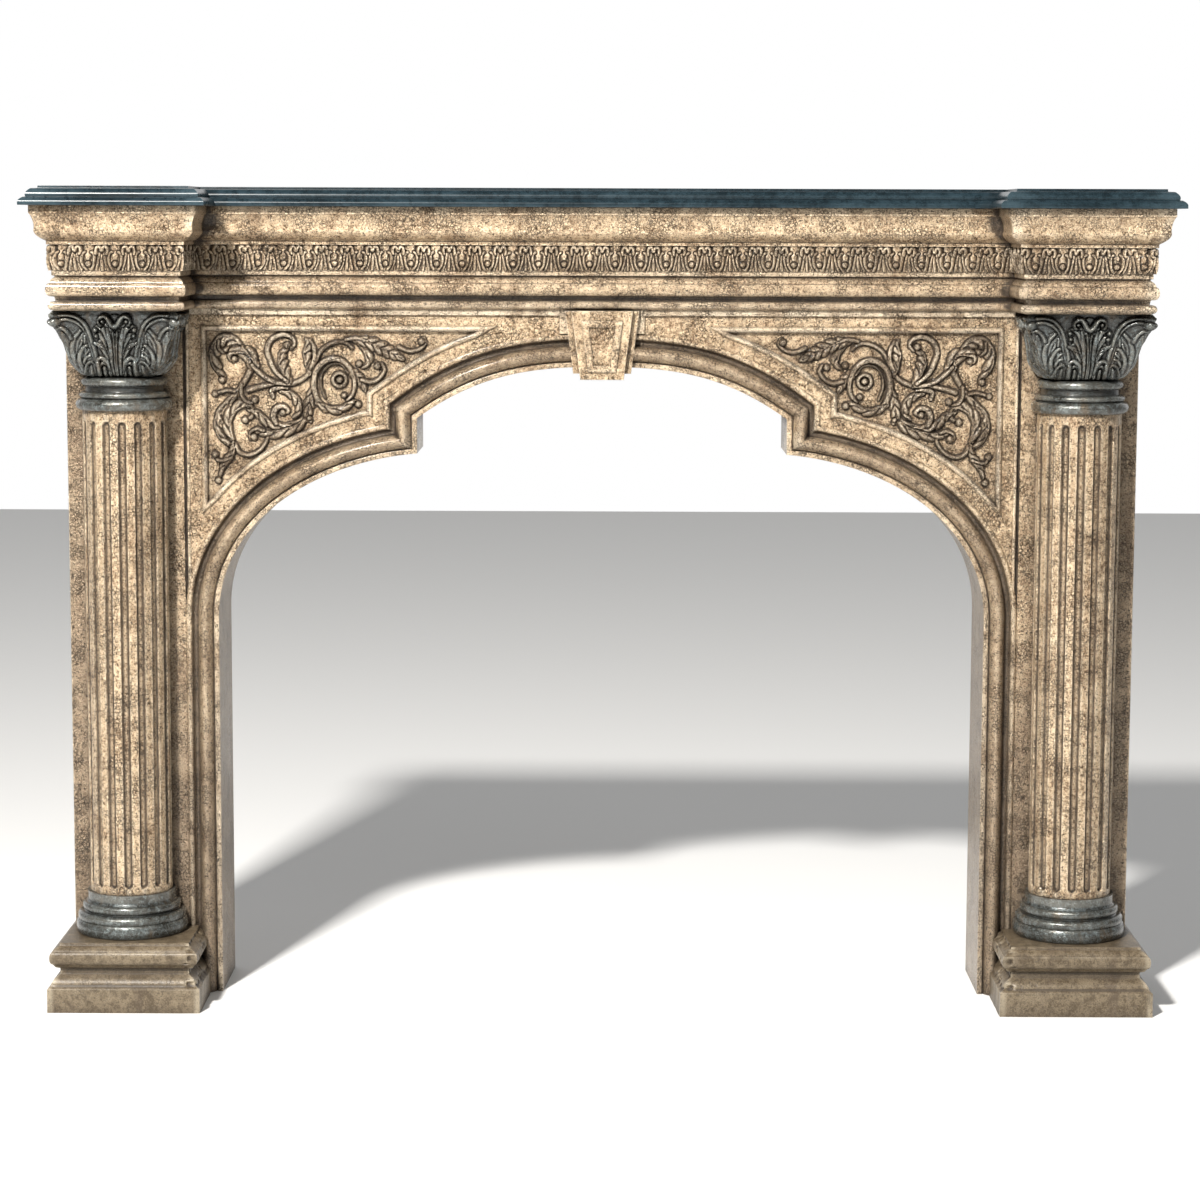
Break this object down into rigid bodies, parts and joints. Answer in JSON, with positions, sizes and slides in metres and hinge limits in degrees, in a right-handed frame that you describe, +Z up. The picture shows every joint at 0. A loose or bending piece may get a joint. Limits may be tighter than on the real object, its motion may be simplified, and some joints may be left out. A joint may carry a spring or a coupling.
{
  "type": "fireplace mantel",
  "caption": "Carved fireplace surround with a stepped arch opening, engaged fluted columns on plinths, a moulded and carved entablature and a stone shelf",
  "frame": {"origin": "middle of the footprint at floor level", "axes": "+X is the length of the mantel, to the right of a person facing it; -Y is its front and +Y the wall behind it; +Z is up"},
  "size_m": [1.9, 0.366, 1.384],
  "materials": {
    "gilt": "antique gilt over cast stone, worn and crackled, brown in the hollows, low sheen",
    "verdigris": "dark bronze-green paint rubbed with gold, semi-gloss",
    "slate": "polished dark blue-green stone",
    "buff": "pinkish buff, mottled and rubbed, low sheen"
  },
  "bodies": {
    "root": {"shelf": "slate", "entablature": "gilt", "arch_surround": "gilt", "keystone": "gilt", "left_capital": "verdigris", "right_capital": "verdigris", "left_shaft": "gilt", "right_shaft": "gilt", "left_column_base": "verdigris", "right_column_base": "verdigris", "left_plinth": "buff", "right_plinth": "buff"}
  },
  "joints": []
}
